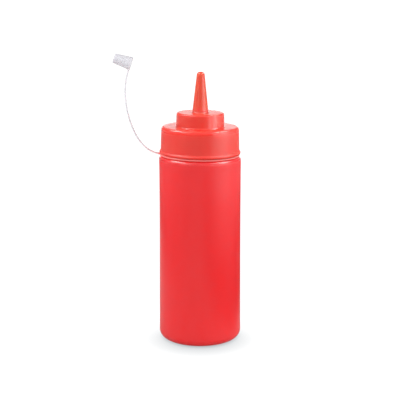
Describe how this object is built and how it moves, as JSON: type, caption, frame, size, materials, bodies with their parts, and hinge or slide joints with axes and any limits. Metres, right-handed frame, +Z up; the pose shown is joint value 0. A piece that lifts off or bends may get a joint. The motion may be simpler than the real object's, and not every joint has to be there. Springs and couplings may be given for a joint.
{
  "type": "squeeze bottle",
  "caption": "Soft plastic squeeze bottle with a round straight body, a stepped screw cap with a tapered nozzle, and a hollow tip cap on a strap moulded to a ring under the cap.",
  "frame": {"origin": "centre of the flat base that the bottle stands on, on the bottle's axis", "axes": "+Z up along the bottle's axis, towards the nozzle; the strap and the tip cap lie in the plane y = 0 on the -X side; -Y is the side the picture shows"},
  "size_m": [0.1014, 0.0662, 0.2302],
  "materials": {
    "bottle_plastic": "soft red low-density polyethylene, satin, slightly translucent",
    "cap_plastic": "red moulded polyethylene, a little more orange and glossier than the bottle",
    "tether_plastic": "natural white translucent polyethylene"
  },
  "bodies": {
    "root": {"bottle": "bottle_plastic", "nozzle_cap": "cap_plastic", "tether": "tether_plastic"}
  },
  "joints": []
}
